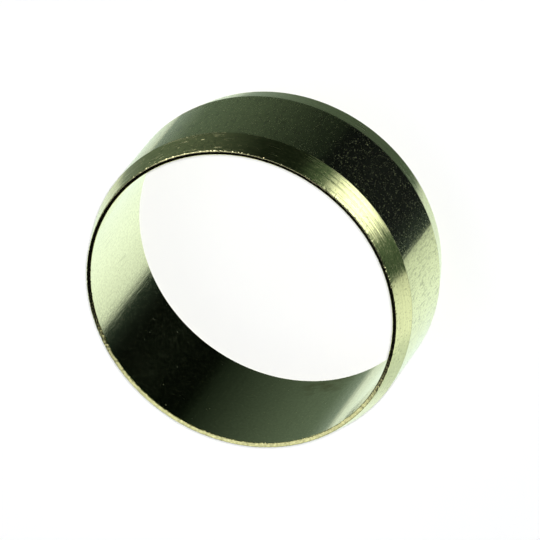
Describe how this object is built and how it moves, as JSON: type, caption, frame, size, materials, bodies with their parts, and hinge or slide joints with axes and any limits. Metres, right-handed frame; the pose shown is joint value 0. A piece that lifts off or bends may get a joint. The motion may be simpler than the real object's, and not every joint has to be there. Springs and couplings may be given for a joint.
{
  "type": "compression olive",
  "caption": "Turned brass ring with a plain bore, a cylindrical crest and shallow conical ends, squeezed onto a pipe to seal a compression fitting.",
  "frame": {"origin": "centre of the lower end face, on the bore axis", "axes": "+Z along the bore axis, upwards; X and Y are any two square directions across the ring"},
  "size_m": [0.0238, 0.0238, 0.01],
  "materials": {
    "brass": "turned and drawn, bright, with fine tool marks"
  },
  "bodies": {
    "root": {"olive_ring": "brass"}
  },
  "joints": []
}
